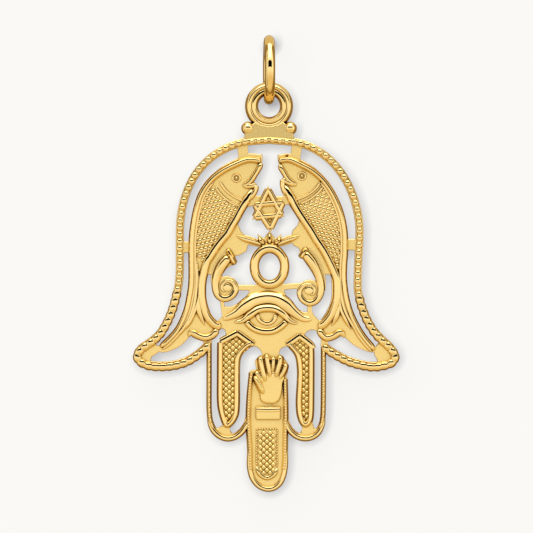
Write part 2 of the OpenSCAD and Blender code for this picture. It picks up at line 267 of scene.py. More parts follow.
def smooth(rows):
    """A smooth curve through rows of squares: across, up and a share of the width where it changes."""
    knots = [at(row[0], row[1]).to_4d() for row in rows]
    for knot, row in zip(knots, rows):
        knot.w = row[2] if len(row) > 2 else 1.0
    knots = [2 * knots[0] - knots[1], *knots, 2 * knots[-1] - knots[-2]]
    points, steps = [], 8
    for a, b, c, d in zip(knots, knots[1:], knots[2:], knots[3:]):
        for s in range(steps):
            t = s / steps
            points.append(
                0.5 * (2 * b + (c - a) * t + (2 * a - 5 * b + 4 * c - d) * t * t + (3 * b - a - 3 * c + d) * t * t * t)
            )
    return [*points, knots[-2]]


def reaches(path):
    """How far along a path each of its points is."""
    made = [0.0]
    for a, b in zip(path, path[1:]):
        made.append(made[-1] + (b - a).xyz.length)
    return made


def even(points, step):
    """Points at equal distances along a path."""
    reach = reaches(points)
    count = max(2, round(reach[-1] / step))
    made, k = [], 0
    for i in range(count + 1):
        along = reach[-1] * i / count
        while k < len(points) - 2 and reach[k + 1] < along:
            k += 1
        made.append(points[k].lerp(points[k + 1], (along - reach[k]) / max(reach[k + 1] - reach[k], 1e-9)))
    return made


def between(a, b, height):
    """The middle of two places, at a height."""
    return Vector(((a.x + b.x) / 2, (a.y + b.y) / 2, height))


def arc(radius, turn):
    """A side of a ridge's crest that bends down evenly from the middle, by a turn in degrees."""
    return (radius, radius, turn)


def draw(bm, paths, width, height, left=None, right=None, closed=False, sunk=SUNK, steps=7):
    """Raises a polished ridge along each path, with a steep foot and a rounded crest.

    left and right are the two sides of the crest, as seen along the path: the reach, drop and turn of each.
    The ridge stands sunk into what carries it, and each side of its crest is bent in a number of steps."""
    outline = bpy.data.curves.new("section", "CURVE")
    outline.dimensions = "2D"
    spline = outline.splines.new("POLY")
    half = width * CREST_SHARE
    plain = (half, min(half * half / CREST_R, height * 0.85), 90)
    corners = []
    for sign, (reach, drop, turn) in ((-1, left or plain), (1, right or plain)):
        angles = [radians(turn) * k / steps for k in range(steps + 1)]
        rim = [(sign * reach * sin(a), height - drop * (1 - cos(a))) for a in angles]
        foot = rim[-1][0] + sign * max(FOOT_LEAN * rim[-1][1], FOOT_LEAST * width)
        corners += [(foot, 0), *rim[:0:-1]] if sign < 0 else [*rim, (foot, 0)]
    corners = [(corners[0][0], -sunk), *corners, (corners[-1][0], -sunk)]
    spline.points.add(len(corners) - 1)
    for point, corner in zip(spline.points, corners):
        point.co = (*corner, 0, 1)
    spline.use_cyclic_u = True
    section = bpy.data.objects.new("section", outline)
    bpy.context.collection.objects.link(section)
    line = bpy.data.curves.new("line", "CURVE")
    line.dimensions = "3D"
    line.twist_mode = "Z_UP"
    line.bevel_mode = "OBJECT"
    line.bevel_object = section
    line.use_fill_caps = True
    for path in paths:
        spline = line.splines.new("POLY")
        spline.points.add(len(path) - 1)
        for point, place in zip(spline.points, path):
            point.co = (*place.xyz, 1)
            point.radius = place.w
        spline.use_cyclic_u = closed
    holder = bpy.data.objects.new("line", line)
    bpy.context.collection.objects.link(holder)
    mesh = bpy.data.meshes.new_from_object(holder.evaluated_get(bpy.context.evaluated_depsgraph_get()))
    made = bmesh.new()
    made.from_mesh(mesh)
    bmesh.ops.remove_doubles(made, verts=made.verts, dist=0.0002)
    bmesh.ops.recalc_face_normals(made, faces=made.faces)
    for face in made.faces:
        face.material_index = POLISHED
    made.to_mesh(mesh)
    made.free()
    bm.from_mesh(mesh)
    for thing in (holder, section):
        bpy.data.objects.remove(thing)
    bpy.data.curves.remove(line)
    bpy.data.curves.remove(outline)
    bpy.data.meshes.remove(mesh)


def beaded(rows, pitch, depth, per_bead):
    """A path whose width swells at each bead of a beaded wire."""
    path = smooth(rows)
    length = reaches(path)[-1]
    beads = round(length / pitch)
    path = even(path, length / beads / per_bead)
    made = []
    for i, point in enumerate(path):
        u = (i / per_bead) % 1.0
        made.append(Vector((*point.xyz, point.w * sqrt(1 - depth * (2 * u - 1) ** 2))))
    return made


border_left = [
    [0, 351.5], [-25, 348.8], [-44.5, 342], [-61.5, 330.3], [-75, 314], [-84, 293.5], [-88.3, 272],
    [-89, 250], [-89, 224], [-90, 208], [-92, 198],
]
border_right = [
    [0, 351.5], [26, 348.8], [41.5, 344], [56, 335.3], [69, 322.3], [79.3, 306], [86, 288.5],
    [89.6, 271], [90.3, 255], [89.2, 232], [88.5, 212], [88.8, 200], [90.4, 193],
]
flare_left = [
    [-91.5, 201], [-93, 194], [-96.8, 181], [-102.3, 168.5], [-109.5, 157],
    [-119.5, 148.5], [-127.5, 143], [-131.3, 136.5], [-128, 130.2], [-117, 126], [-99, 126],
    [-83, 130], [-70, 138], [-60, 147],
]
flare_right = [
    [89.8, 196], [91.8, 187.5], [97, 173.5],
    [104.3, 161], [112, 152.3], [119.8, 145.3], [125.6, 136.5], [122, 129.3], [109, 125.6], [98, 125.8],
    [81, 130], [65, 138], [54, 145.5],
]
bead_form = bpy.data.meshes.new("bead_form")
bm = bmesh.new()
bmesh.ops.create_uvsphere(bm, u_segments=14, v_segments=8, radius=1)
for face in bm.faces:
    face.material_index = POLISHED
bm.to_mesh(bead_form)
bm.free()


def bead(bm, place, way, long, wide, tall):
    """Adds an oval grain that lies along a direction."""
    turn = Matrix.Rotation(atan2(way.y, way.x) - pi / 2, 4, "Z") @ Matrix.Diagonal((wide, long, tall, 1))
    one = bead_form.copy()
    one.transform(Matrix.Translation(place) @ turn)
    bm.from_mesh(one)
    bpy.data.meshes.remove(one)


bm = bmesh.new()
for rows in (border_left, border_right):
    path = smooth(rows)
    draw(bm, [path], WIRE_W, WIRE_H)
    row = even(path, BEAD_PITCH)
    for a, b in zip(row, row[1:]):
        under_saddle = abs((a.x + b.x) / 2) < 1.75 and a.y > 26
        small = SMALL_BEAD if under_saddle else 1.0
        middle = between(a, b, FRONT + WIRE_H)
        middle.y -= (1 - small) * 0.3
        bead(bm, middle, b - a, BEAD_LONG * small, BEAD_WIDE * small, BEAD_TALL)
for rows in (flare_left, flare_right):
    swollen = beaded([[row[0], row[1] - 1.2] for row in rows], BEAD_PITCH, 0.32, 10)
    draw(bm, [swollen], 0.62, 0.26, arc(0.55, 23), arc(0.55, 23), steps=8)
finish_piece(bm, "border", sharp=70)

# Loop, saddle and grains
# A closed loop of cast gold wire with a thin lip inside it, soldered on a flat saddle between two round grains.
# The jump ring passes through the loop, and the saddle is soldered on the top of the plate.
LOOP_UP = -4.56 - low.z
GRAIN_UP = -6.22 - low.z
SADDLE_LOW = 26.28


def shoulder(reach, drop):
    """A side of a ridge's crest that turns over fully, like a quarter of an oval."""
    return (reach, drop, 90)


def oval(centre, wide, tall, count):
    """A closed path round an oval."""
    turns = [2 * pi * k / count for k in range(count)]
    return [Vector((centre.x + wide * cos(a), centre.y + tall * sin(a), centre.z, 1)) for a in turns]


def slab(bm, points, bottom, height, radius):
    """Adds a flat slab with a rounded upper edge and a satin top, cut to a closed line of points."""
    verts = [bm.verts.new((*point[:2], bottom)) for point in points]
    edges = [bm.edges.new((a, b)) for a, b in zip(verts, verts[1:] + verts[:1])]
    filled = bmesh.ops.triangle_fill(bm, edges=edges, use_beauty=True, use_dissolve=False)
    faces = [g for g in filled["geom"] if isinstance(g, bmesh.types.BMFace)]
    if sum(f.normal.z * f.calc_area() for f in faces) > 0:
        bmesh.ops.reverse_faces(bm, faces=faces)
    grown = bmesh.ops.extrude_face_region(bm, geom=faces, use_keep_orig=True)
    caps = [g for g in grown["geom"] if isinstance(g, bmesh.types.BMFace)]
    caps = [f for f in caps if len(f.verts) == 3]
    raised = list({v for f in caps for v in f.verts})
    bmesh.ops.translate(bm, vec=(0, 0, height - radius), verts=raised)
    bmesh.ops.recalc_face_normals(bm, faces=bm.faces)
    round_edge(bm, caps, radius)


bm = bmesh.new()
for radius, wide, tall, outer, inner in (
    (1.47, 0.44, 0.35, shoulder(0.19, 0.12), shoulder(0.16, 0.12)),
    (1.08, 0.34, 0.33, arc(0.6, 19), shoulder(0.11, 0.09)),
):
    circle = oval(Vector((0, LOOP_UP, 0)), radius, radius, 128)
    draw(bm, [circle], wide, tall, inner, outer, closed=True, sunk=0, steps=8)
bmesh.ops.mirror(bm, geom=bm.verts[:] + bm.edges[:] + bm.faces[:], axis="Z", merge_dist=NEAR)
open_middle(bm)
bmesh.ops.recalc_face_normals(bm, faces=bm.faces)
finish_piece(bm, "loop", sharp=60)

bm = bmesh.new()
for side in (-1, 1):
    bmesh.ops.create_uvsphere(
        bm, u_segments=32, v_segments=20, radius=0.51,
        matrix=Matrix.Translation((side * 1.58, GRAIN_UP, 0.02)) @ Matrix.Rotation(pi / 2, 4, "X"),
    )
for face in bm.faces:
    face.material_index = POLISHED
finish_piece(bm, "grains", sharp=60)

bm = bmesh.new()
saddle_line = [
    (-1.87, SADDLE_LOW), (1.87, SADDLE_LOW), (1.84, 26.8), (1.4, 27.4), (1.02, 27.72), (0.7, 27.5), (0, 27.35),
    (-0.7, 27.5), (-1.02, 27.72), (-1.4, 27.4), (-1.84, 26.8),
]
slab(bm, saddle_line, -FRONT, PLATE_T + 0.06, 0.08)
for vert in bm.verts:
    if vert.co.z > 0:
        vert.co.z -= 0.04 * (vert.co.y - SADDLE_LOW)
finish_piece(bm, "saddle")

# Fish
# Two fish stand head up, cast in gold in one with the plate. A smooth rim runs round each, and ridges flow down
# its tail. Rows of small round scales fill the body between the gills and the tail.
RIM_H = 0.26
SCALE_ROW, SCALE_GAP, SCALE_DRIFT = 0.40, 0.335, 0.03
TIP_LEAST = 0.006
fish_back = {
    -1: [[-7.5, 332], [-21, 333.2], [-34, 328.6], [-47, 322], [-58, 313.5], [-67.5, 301], [-73, 287],
         [-77, 268], [-79, 247], [-79, 212], [-81, 195], [-84.5, 180], [-92, 163.5], [-102, 152], [-110, 145.5]],
    1: [[9, 332], [20, 333.4], [33, 328], [46, 320.6], [57, 310], [66, 296], [73, 279], [77, 260],
        [77.5, 240], [76.5, 225], [76.5, 210], [79, 192], [84.5, 175], [94.5, 157], [107, 142]],
}
fish_lobes = {
    -1: [[[-81, 154.6, 0.5], [-77, 158.1], [-70, 155.1], [-63, 153.4], [-56, 156.1], [-51, 162.6]]],
    1: [[[76, 153.6, 0.5], [71, 158.6], [64, 154.8], [57, 153.4], [52, 157.6], [50, 163.1]]],
}
fish_belly = {
    -1: [[-16, 302, 0.5], [-19, 295, 0.8], [-22.5, 288.5], [-27.5, 280], [-31.5, 272.5], [-36.5, 264], [-40.5, 257],
         [-46.5, 250], [-52.5, 242], [-57.5, 234], [-61, 228.5], [-64, 217], [-65.4, 210], [-66, 202],
         [-65.6, 192], [-63.5, 183], [-60.5, 175.5], [-55, 168.8], [-50.5, 166], [-47, 165.6]],
    1: [[14.5, 306, 0.5], [17.5, 300, 0.8], [20, 294.5], [24, 286.5], [28, 279.5], [34.5, 269.5], [40.5, 260.5],
        [46.5, 250.5], [53.5, 240], [60, 227.5], [63.8, 219], [66.5, 211], [67, 202], [66.5, 192.5],
        [64, 184], [60.8, 176.5], [55.5, 169.6], [51, 166.2], [48, 165.6]],
}
fish_jaw = {
    -1: [[[-7.8, 328.6, 0.5], [-8.8, 325.4], [-11, 321], [-14.5, 315.5], [-18, 310.5], [-22, 306.8],
          [-26.5, 304.5, 0.6]],
         [[-25, 304, 0.7], [-20, 304.8], [-15, 305.6], [-12.8, 307]],
         [[-13, 306], [-13.5, 301], [-17, 295], [-19.5, 291, 0.7]]],
    1: [[[10.2, 327, 0.5], [12, 323], [14.8, 318.5], [18, 313.3], [22.8, 308.5], [28, 305.8, 0.6]],
        [[26.5, 306, 0.7], [21, 307.6], [16, 310.2], [13.8, 313]],
        [[13.8, 312], [13.6, 306], [15.3, 300], [17.3, 296, 0.7]]],
}
fish_gills = {
    -1: [[[-49, 309.5], [-45, 303], [-40, 298], [-33, 293.5], [-25, 289.8]],
         [[-53.5, 304], [-48, 296.8], [-42, 291.6], [-36, 287.6], [-28, 284.6]]],
    1: [[[51, 309], [47, 303], [41, 298], [34, 294], [25, 290.8]],
        [[54, 304.5], [48, 297.6], [40, 291.6], [31, 287.2]]],
}
fish_tail = {
    -1: [[[-72, 230, 0.6], [-72, 215], [-72.5, 202], [-74.5, 187], [-79, 174], [-86, 162], [-96, 151, 0.6]],
         [[-70, 222, 0.4], [-69.2, 207], [-70, 192], [-75, 178], [-81, 166.5], [-86, 160, 0.4]],
         [[-67.5, 203, 0.6], [-70, 188], [-69.5, 179], [-64, 165, 0.4]]],
    1: [[[72.5, 226, 0.6], [71, 210], [72, 195], [76, 180], [84, 165], [94, 151, 0.6]],
        [[71, 217, 0.4], [69.7, 198], [71, 184], [76, 172], [82, 161, 0.4]],
        [[70, 191, 0.6], [67.5, 176], [62.5, 164.5, 0.4]]],
}
fish_eye = {-1: (-32.5, 313), 1: (32.8, 315)}
body_line = {
    -1: [[-35, 305], [-40.5, 293], [-47, 280], [-54, 266], [-60.5, 252], [-66, 236], [-68, 226]],
    1: [[34, 305], [41.5, 293], [50, 281], [57, 267], [63, 252], [68.5, 236], [70.5, 224]],
}
body_edge = {
    -1: [[-58, 303], [-52, 297], [-47, 292.5], [-42, 288.5], [-36, 285], [-29.5, 282], [-31.5, 278], [-36, 272.5],
         [-41, 264], [-45, 257.5], [-51, 250.5], [-57, 242], [-63, 231], [-67, 226], [-73.5, 238], [-74, 250],
         [-72.5, 268], [-69, 284], [-64, 295], [-58.5, 303]],
    1: [[57, 302.5], [52, 296.5], [46, 291.5], [40, 288], [31.5, 284], [33, 279], [39.5, 269.5], [45.5, 260.5],
        [51.5, 250.5], [58, 240.5], [64, 229], [67.5, 221], [72, 222], [72.5, 240], [72.3, 258], [68.5, 277],
        [62.5, 292.5], [57.5, 301]],
}


def beside(path, distance):
    """The same path, moved to its left by a distance."""
    made = []
    for i, point in enumerate(path):
        way = (path[min(i + 1, len(path) - 1)] - path[max(i - 1, 0)]).xy.normalized()
        made.append(point + Vector((-way.y, way.x, 0, 0)) * distance)
    return made


def taper(path, start, end):
    """Narrows a path to a round tip over a length at each end."""
    reach = reaches(path)
    made = []
    for point, along in zip(path, reach):
        share = 1.0
        for gap, length in ((along, start), (reach[-1] - along, end)):
            if gap < length:
                share *= sqrt(max(1 - (1 - gap / length) ** 2, TIP_LEAST))
        made.append(Vector((*point.xyz, point.w * share)))
    return made


def stroke(rows, start, end, step=0.08, shift=0.0):
    """A smooth path through rows of squares, moved to its left by a shift and narrowed to a tip at each end."""
    path = even(smooth(rows), step)
    if shift:
        path = beside(path, shift)
    return taper(path, start, end)


def inside(x, y, corners):
    """True if a place lies within a closed line of places."""
    hit = False
    for (x0, y0), (x1, y1) in zip(corners, corners[1:] + corners[:1]):
        if (y0 > y) != (y1 > y) and x < x0 + (y - y0) * (x1 - x0) / (y1 - y0):
            hit = not hit
    return hit


for side, name in ((-1, "left"), (1, "right")):
    bm = bmesh.new()
    edge = even(smooth(fish_back[side]), 0.09)
    soft, steep = arc(0.36, 24), shoulder(0.10, 0.05)
    crest = (steep, soft) if side < 0 else (soft, steep)
    draw(bm, [taper(beside(edge, -side * 0.18), 0.15, 0.5)], 0.36, RIM_H, *crest)
    flank = [point for point in beside(edge, -side * 0.39) if point.y < 23.2]
    draw(bm, [taper(flank, 0.2, 0.6)], 0.32, 0.13)
    wide, narrow = arc(0.6, 25), arc(0.38, 25)
    crest = (narrow, wide) if side < 0 else (wide, narrow)
    draw(bm, [stroke(fish_belly[side], 0.5, 0.35, step=0.09, shift=side * 0.05)], 0.5, RIM_H, *crest)
    draw(bm, [stroke(rows, 0.12, 0.12) for rows in fish_jaw[side]], 0.24, 0.18, arc(0.3, 24), arc(0.3, 24))
    draw(bm, [stroke(rows, 0.4, 0.4) for rows in fish_lobes[side]], 0.3, 0.22, arc(0.45, 22), arc(0.45, 22))
    finish_piece(bm, f"fish_{name}_rim", sharp=60)

    bm = bmesh.new()
    draw(bm, [stroke(rows, 0.12, 0.12, step=0.06) for rows in fish_gills[side]], 0.34, 0.09)
    eye = at(*fish_eye[side])
    draw(bm, [oval(eye, 0.27, 0.27, 32)], 0.19, 0.09, closed=True, steps=4)
    bmesh.ops.create_uvsphere(bm, u_segments=16, v_segments=8, radius=0.12, matrix=Matrix.Translation(eye))
    finish_piece(bm, f"fish_{name}_gills", sharp=60)

    bm = bmesh.new()
    rays = [stroke(rows, 0.14, 0.8, step=0.06) for rows in fish_tail[side]]
    draw(bm, rays[:2], 0.40, 0.17)
    draw(bm, rays[2:], 0.40, 0.19, arc(0.42, 20), arc(0.42, 20))
    finish_piece(bm, f"fish_{name}_tail", sharp=60)

    bm = bmesh.new()
    edge = [tuple(at(*row).xy) for row in body_edge[side]]
    lean = radians(-14 * side)
    across = Vector((cos(lean), sin(lean), 0))
    for i, point in enumerate(even(smooth(body_line[side]), SCALE_ROW)):
        for j in range(-9, 10):
            spot = point.xyz + across * (j * SCALE_GAP + i * SCALE_DRIFT)
            if inside(spot.x, spot.y, edge):
                bead(bm, spot, Vector((-0.57 * side, 0.82, 0)) * -side, 0.235, 0.165, 0.09)
    finish_piece(bm, f"fish_{name}_scales", sharp=80)

# Star
# A six-pointed star of two crossed triangles in raised gold wire, each pulled in a little from its corners.
# It is cast on the web that joins the two fish.
star_corners = [
    [[-1, 305.5], [-17, 271.5], [15.5, 274.5]],
    [[-17, 287.5], [16.5, 290.5], [1.5, 259]],
]
bm = bmesh.new()
bars = []
for corners in star_corners:
    middle = sum((at(*corner) for corner in corners), Vector()) / 3
    pulled = [at(*corner).lerp(middle, 0.16) for corner in corners]
    for a, b in zip(pulled, pulled[1:] + pulled[:1]):
        bars.append(taper(even([a.to_4d(), b.to_4d()], 0.08), 0.1, 0.1))
draw(bm, bars, 0.3, 0.2, arc(0.4, 20), arc(0.4, 20))
finish_piece(bm, "star", sharp=60)

# Horns
# Two horns of tapered half-round gold, cast in one with the plate. Each has a cupped mouth with a lip, a thin seam
# outside it on the web, and curls up below into a spiral round a flat knob.
horns = {
    "left": [
        [-39.5, 235, 0.9], [-47, 225.5, 1.0], [-52, 215, 0.84], [-53.5, 204.5, 0.72], [-51, 196, 0.66],
        [-45, 192.5, 0.64], [-38, 194.5, 0.62], [-33.5, 201, 0.56], [-35.5, 207.5, 0.5], [-41, 210, 0.44],
        [-45.5, 207, 0.38], [-46.5, 202.5, 0.34], [-43.5, 199.5, 0.3],
    ],
    "right": [
        [34.5, 239, 0.9], [42, 229.5, 1.0], [47.5, 219.5, 0.86], [51, 209, 0.74], [51.5, 199, 0.68],
        [47.5, 191, 0.64], [40.5, 188, 0.62], [33.5, 191.5, 0.58], [30.5, 198.5, 0.52], [34, 204.5, 0.46],
        [40, 206, 0.4], [44.5, 203, 0.36], [44.5, 198.5, 0.32], [41, 196, 0.3],
    ],
}
horn_knobs = {"left": (-41.5, 203.5), "right": (39.8, 200.5)}
horn_lips = {
    "left": [[-41.5, 242.5, 0.7], [-38.5, 236], [-35.5, 229.5], [-33.5, 226.5, 0.8]],
    "right": [[38, 243.5, 0.7], [35, 239], [32.5, 234.5], [31.5, 232.5, 0.8]],
}
horn_seams = {
    "left": [[-41, 242], [-47.5, 236], [-53.5, 227], [-57, 216], [-57, 205]],
    "right": [[38, 243.5], [44.5, 238], [50.5, 229], [54.5, 219], [56, 209], [56, 200]],
}
for name, rows in horns.items():
    bm = bmesh.new()
    inner, outer = arc(0.95, 20), shoulder(0.26, 0.16)
    crest, shift = ((inner, outer), -0.05) if name == "left" else ((outer, inner), 0.05)
    draw(bm, [stroke(rows, 0.36, 0.2, step=0.07, shift=shift)], 0.78, 0.28, *crest, steps=9)
    draw(bm, [stroke(horn_lips[name], 0.12, 0.12)], 0.3, 0.34)
    draw(bm, [stroke(horn_seams[name], 0.1, 0.6)], 0.15, 0.04)
    bead(bm, at(*horn_knobs[name], FRONT + 0.1), Vector((0, 1, 0)), 0.31, 0.31, 0.03)
    finish_piece(bm, f"horn_{name}", sharp=60)

# Pomegranate
# An open fruit with a three-pointed crown and a leaf on each side, in raised gold wire of the same casting.
# It stands on the webs between the horns, above the brow.
fruit = [0.5, 224.5]
crown = [
    [[-4.5, 247], [-8, 250], [-10, 254.5, 0.5]],
    [[0.5, 247], [0.5, 252], [0.5, 258, 0.5]],
    [[5.5, 247], [9, 250], [11, 254.5, 0.5]],
    [[-7.5, 244.5], [0.5, 246], [8.5, 244.5]],
]
leaves = [
    [[-7, 246, 0.5], [-14, 249, 1], [-24, 252, 1], [-33, 255.5, 0.4]],
    [[8, 246, 0.5], [15, 249.5, 1], [23, 252.5, 1], [31, 255.5, 0.4]],
]
bm = bmesh.new()
draw(bm, [oval(at(*fruit), 1.14, 1.35, 64)], 0.44, 0.28, arc(0.6, 20), arc(0.6, 20), closed=True)
draw(bm, [stroke(rows, 0.12, 0.2) for rows in crown], 0.3, 0.24)
draw(bm, [stroke(rows, 0.2, 0.4) for rows in leaves], 0.5, 0.2)
finish_piece(bm, "pomegranate", sharp=60)

# Palm and eye
# The palm is a smooth satin field of the plate. A thick brow, two lids and an iris are raised on it in polished
# gold, cast in one with it, and the plate is pierced above the iris.
brow = [
    [-46, 174.5, 0.4], [-40, 178, 0.55], [-32, 182, 0.75], [-23.5, 189], [-14.5, 194.5], [-2.5, 197], [8, 195.5],
    [16.5, 190.5], [25, 182.5, 0.75], [34, 176.5, 0.55], [43, 175.5, 0.4],
]
lid_upper = [
    [-35, 171.5, 0.4], [-30, 171.8, 0.5], [-24.5, 173.5, 0.7], [-18, 178.5], [-10.5, 183.5], [-2, 185], [6, 184],
    [12.5, 180], [18.5, 174, 0.7], [24, 171, 0.5], [29, 170.5, 0.4],
]
lid_lower = [[-23.5, 171.5], [-17.5, 165.5], [-10, 162], [-2.5, 161], [5, 162], [12, 166], [18, 171.5]]
iris = [[-12.5, 178], [-10, 172.5], [-6, 169.5], [-2, 168.6], [2, 169.5], [5.5, 172.5], [7.5, 177.5]]


def lowered(rows, by):
    """The same rows, moved down by some squares."""
    return [[row[0], row[1] - by, *row[2:]] for row in rows]


bm = bmesh.new()
brow_crest = (arc(0.6, 48), shoulder(0.42, 0.05))
upper_crest = (arc(0.52, 48), shoulder(0.14, 0.06))
lower_crest = (arc(0.62, 22), shoulder(0.12, 0.04))
iris_crest = (arc(0.5, 20), shoulder(0.1, 0.03))
draw(bm, [stroke(lowered(brow, 3.3), 0.5, 0.5)], 0.8, RIM_H, *brow_crest, steps=10)
draw(bm, [stroke(lowered(lid_upper, 2.8), 0.4, 0.4)], 0.6, RIM_H, *upper_crest, steps=10)
draw(bm, [stroke(lowered(lid_lower, 2.2), 0.15, 0.15)], 0.44, 0.2, *lower_crest, steps=9)
draw(bm, [stroke(lowered(iris, 1.2), 0.1, 0.1)], 0.3, 0.12, *iris_crest)
finish_piece(bm, "eye", sharp=60)

# Side fingers
# Each side finger is a gabled panel of the plate with a polished rim, cast in one with it.
# Its floor is filled with raised lozenges in crossing rows, satin on top, with narrow grooves between them.
LOZENGE_H, LOZENGE_SUNK = 0.075, 0.04
LOZENGE_FOOT, LOZENGE_TOP = 0.485, 0.395
LOZENGE_LEAN = 2.5
finger_rims = {
    "left": [
        [[-49.3, 150.2], [-40.5, 155], [-31.5, 159.7]],
        [[-31.5, 159.7], [-23, 153.5], [-14, 147.2]],
        [[-15.5, 146.2], [-22.5, 142], [-27.8, 134.5], [-29.3, 124], [-29.5, 86], [-31.8, 73], [-39, 64.2],
         [-45.2, 65.7], [-49.5, 77], [-51.5, 91], [-51.5, 120], [-51.3, 149.5]],
    ],
    "right": [
        [[16.5, 147], [24, 152], [30.5, 156.8]],
        [[30.5, 156.8], [37, 152], [42.5, 147.2], [44.6, 142]],
        [[43.4, 146], [44.8, 140], [44.8, 101], [44.3, 76], [41.8, 67.7], [37, 64.2], [31.7, 66.7], [28, 76], [27, 90],
         [28, 108], [28.2, 122], [26.2, 135], [20, 143.5], [18, 145.6]],
    ],
}
finger_fields = {
    "left": [[-48, 149], [-31.5, 156.5], [-17, 146.5], [-26, 140], [-32.5, 125], [-33, 86], [-35, 75], [-39, 69],
             [-44.5, 70], [-47, 79], [-48.5, 92]],
    "right": [[20.5, 147], [30.5, 153.5], [41, 146], [41.3, 101], [41, 78], [38.5, 70], [35, 68.5], [32, 72],
              [31, 80], [30.5, 92], [31.5, 108], [31.5, 124], [29, 137]],
}


def lozenges(bm, field, wide, high):
    """Fills a field with raised lozenges that stand in crossing rows, each leaning a little its own way."""
    edge = [tuple(at(*row).xy) for row in field]
    x0, x1 = min(x for x, y in edge), max(x for x, y in edge)
    y0, y1 = min(y for x, y in edge), max(y for x, y in edge)
    rows = ceil((y1 - y0) / (high / 2))
    columns = ceil((x1 - x0) / wide)
    for i in range(-1, rows + 2):
        for j in range(-1, columns + 2):
            x = (x0 + x1) / 2 + (j - columns // 2 + 0.5 * (i % 2)) * wide
            y = y0 + i * high / 2
            if inside(x, y, edge):
                hinge = Vector((cos(2.3 * i * j), sin(2.3 * i * j), 0))
                lean = Matrix.Rotation(radians(LOZENGE_LEAN * sin(7.1 * i + 3.7 * j)), 4, hinge)
                bmesh.ops.create_cone(
                    bm, cap_ends=True, segments=4, radius1=LOZENGE_FOOT, radius2=LOZENGE_TOP, depth=1,
                    matrix=Matrix.Translation((x, y, FRONT + (LOZENGE_H - LOZENGE_SUNK) / 2)) @ lean
                    @ Matrix.Diagonal((wide, high, LOZENGE_H + LOZENGE_SUNK, 1)),
                )
    bm.normal_update()
    for face in bm.faces:
        face.material_index = SATIN if face.normal.z > 0.97 else POLISHED


for name, rims in finger_rims.items():
    bm = bmesh.new()
    paths = [stroke(rows, 0.1, 0.1, shift=-0.17) for rows in rims]
    draw(bm, paths[:2], 0.4, 0.2, arc(0.7, 22), shoulder(0.12, 0.05))
    draw(bm, paths[2:], 0.32, RIM_H, shoulder(0.07, 0.03), arc(0.42, 21))
    finish_piece(bm, f"finger_{name}_rim", sharp=60)

    bm = bmesh.new()
    lozenges(bm, finger_fields[name], 0.51, 0.445)
    finish_piece(bm, f"finger_{name}_lozenges", sharp=80)

# Twisted cords
# A cord of twisted gold wire, cast in one with the plate, hangs from the border beside each side finger.
# It turns plain and round under the finger, and ends at the long finger.
CORD_W, CORD_H = 0.34, 0.2
STRAND_PITCH, STRAND_LEAN = 0.38, -12
cords = [
    [[-59.8, 148], [-59.8, 110], [-59.7, 80], [-57.5, 67], [-52, 58.5], [-43.5, 54], [-35, 55], [-28, 60],
     [-22.5, 68], [-21.5, 72]],
    [[54.3, 144], [54.3, 105], [53.7, 75], [51, 64], [46, 57.2], [38, 54], [29, 55.5], [22, 61],
     [17.5, 69], [17, 73]],
]
bm = bmesh.new()
for rows in cords:
    path = even(smooth(rows), 0.08)
    fall = [point for point in path if point.y > 4.7 and abs(point.x) > 3.2]
    draw(bm, [fall], CORD_W, CORD_H, shoulder(0.08, 0.02), shoulder(0.08, 0.02))
    inner, outer = arc(0.42, 26), shoulder(0.08, 0.03)
    crest, shift = ((inner, outer), -0.13) if rows[0][0] < 0 else ((outer, inner), 0.13)
    turn = [point for point in path if point.y < 5.6 or abs(point.x) <= 3.2]
    draw(bm, [taper(beside(turn, shift), 1.8, 0.4)], 0.42, CORD_H, *crest)
    row = even(fall, STRAND_PITCH)
    for a, b in zip(row, row[1:]):
        way = Matrix.Rotation(radians(STRAND_LEAN), 3, "Z") @ (b - a).xyz
        bead(bm, between(a, b, FRONT + CORD_H - 0.02), way, 0.19, 0.1, 0.08)
finish_piece(bm, "cords", sharp=70)

# Long finger
# The middle finger of the plate carries a finely beaded band along its edges, plain and round at the tip.
# Above the tip is a small panel of lozenges within a dotted line, with a curved ridge at its foot.
BAND_W, BAND_H = 0.36, 0.2
BAND_PITCH, DOT_PITCH = 0.21, 0.2
band = [
    [-17.5, 118], [-18.7, 108], [-20, 92], [-20.5, 68], [-19, 42], [-18.6, 25], [-15.8, 13.5],
    [-9.3, 5.8], [-1, 3], [6.5, 5.2], [12.2, 12], [15.4, 26], [16.2, 55], [16.6, 80], [16, 112],
]
panel_line = [
    [-12, 62], [-6, 62.2], [2, 62.2], [7.8, 61.8], [8.2, 56], [8, 40], [8, 26], [5.4, 18], [-2, 14],
    [-9.4, 18.5], [-12.4, 28.5], [-12.4, 42], [-12.2, 56],
]
panel_field = [[-10.5, 60], [6.5, 60], [6.5, 25], [4, 18.3], [-2, 15.3], [-8, 18.8], [-10.8, 28]]
panel_foot = [[8.3, 24, 0.6], [7.4, 19.5], [4.6, 15.5], [-2, 12.6], [-8.6, 15.7], [-11.8, 20.5], [-12.5, 25.5, 0.6]]
bm = bmesh.new()
path = even(smooth(band), 0.08)
falls = [[point for point in path if point.y > 1.6 and point.x * side > 0] for side in (-1, 1)]
draw(bm, falls, BAND_W, BAND_H, shoulder(0.09, 0.02), shoulder(0.09, 0.02))
tip = beside([point for point in path if point.y < 3.4], -0.11)
draw(bm, [taper(tip, 1.8, 1.8)], 0.46, 0.18, arc(0.42, 25), shoulder(0.07, 0.03))
for fall in falls:
    row = even(fall, BAND_PITCH)
    for a, b in zip(row, row[1:]):
        bead(bm, between(a, b, FRONT + BAND_H - 0.02), b - a, 0.1, 0.1, 0.08)
finish_piece(bm, "long_finger_band", sharp=70)
bm = bmesh.new()
row = even(smooth([*panel_line, panel_line[0]]), DOT_PITCH)
for a, b in zip(row, row[1:]):
    if a.y > 1.9:
        bead(bm, Vector((*a.xy, FRONT)), b - a, 0.1, 0.085, 0.09)
